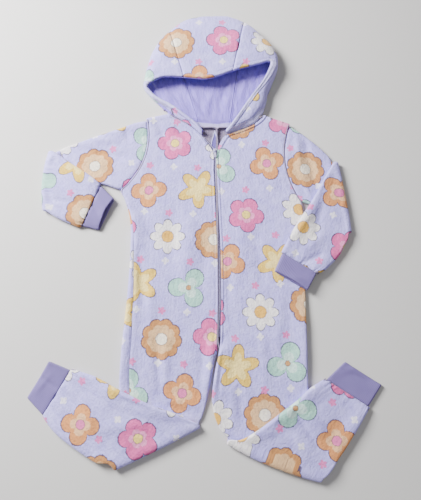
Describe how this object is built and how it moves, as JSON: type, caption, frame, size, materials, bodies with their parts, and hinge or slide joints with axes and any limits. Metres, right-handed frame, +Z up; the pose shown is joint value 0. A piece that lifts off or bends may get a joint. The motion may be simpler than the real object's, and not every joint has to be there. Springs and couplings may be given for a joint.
{
  "type": "hooded onesie pajama laid flat",
  "caption": "Child's hooded plush one-piece pajama laid flat, front zip from crotch to neck, rib cuffs, with sleeves and legs folded over themselves.",
  "frame": {"origin": "centre of the garment's box, on the surface that it lies on", "axes": "+Y from feet to hood, +X to the viewer's right looking down on the front, +Z up from the surface"},
  "size_m": [0.7334, 1.0394, 0.0361],
  "materials": {
    "plush_fleece": "light lilac plush fleece with a printed pattern",
    "plush_lining": "plain lilac plush",
    "rib_knit": "smooth fine rib knit, darker lilac",
    "zip_tape": "woven tape",
    "guard_cloth": "plain lilac knit",
    "zip_coil": "moulded nylon coil",
    "zip_metal": "lilac lacquered metal"
  },
  "bodies": {
    "garment": {"front_left": "plush_fleece", "front_right": "plush_fleece", "back_left": "plush_fleece", "back_right": "plush_fleece", "sleeve_left": "plush_fleece", "sleeve_right": "plush_fleece", "hood_left": "plush_fleece", "hood_centre": "plush_fleece", "hood_right": "plush_fleece", "lining_left": "plush_lining", "lining_centre": "plush_lining", "lining_right": "plush_lining", "cuff_wrist_left": "rib_knit", "cuff_wrist_right": "rib_knit", "cuff_ankle_left": "rib_knit", "cuff_ankle_right": "rib_knit", "zip_tape_left": "zip_tape", "zip_tape_right": "zip_tape", "zip_guard": "guard_cloth", "zip_coil": "zip_coil", "zip_slider": "zip_metal"},
    "pull": {"zip_pull": "zip_metal"}
  },
  "joints": [
    {"name": "pull_hinge", "type": "hinge", "parent": "garment", "child": "pull", "pos_m": [0.02206, 0.17903, 0.0115], "axis": [-1, 0, 0], "range_deg": [0, 165]}
  ]
}
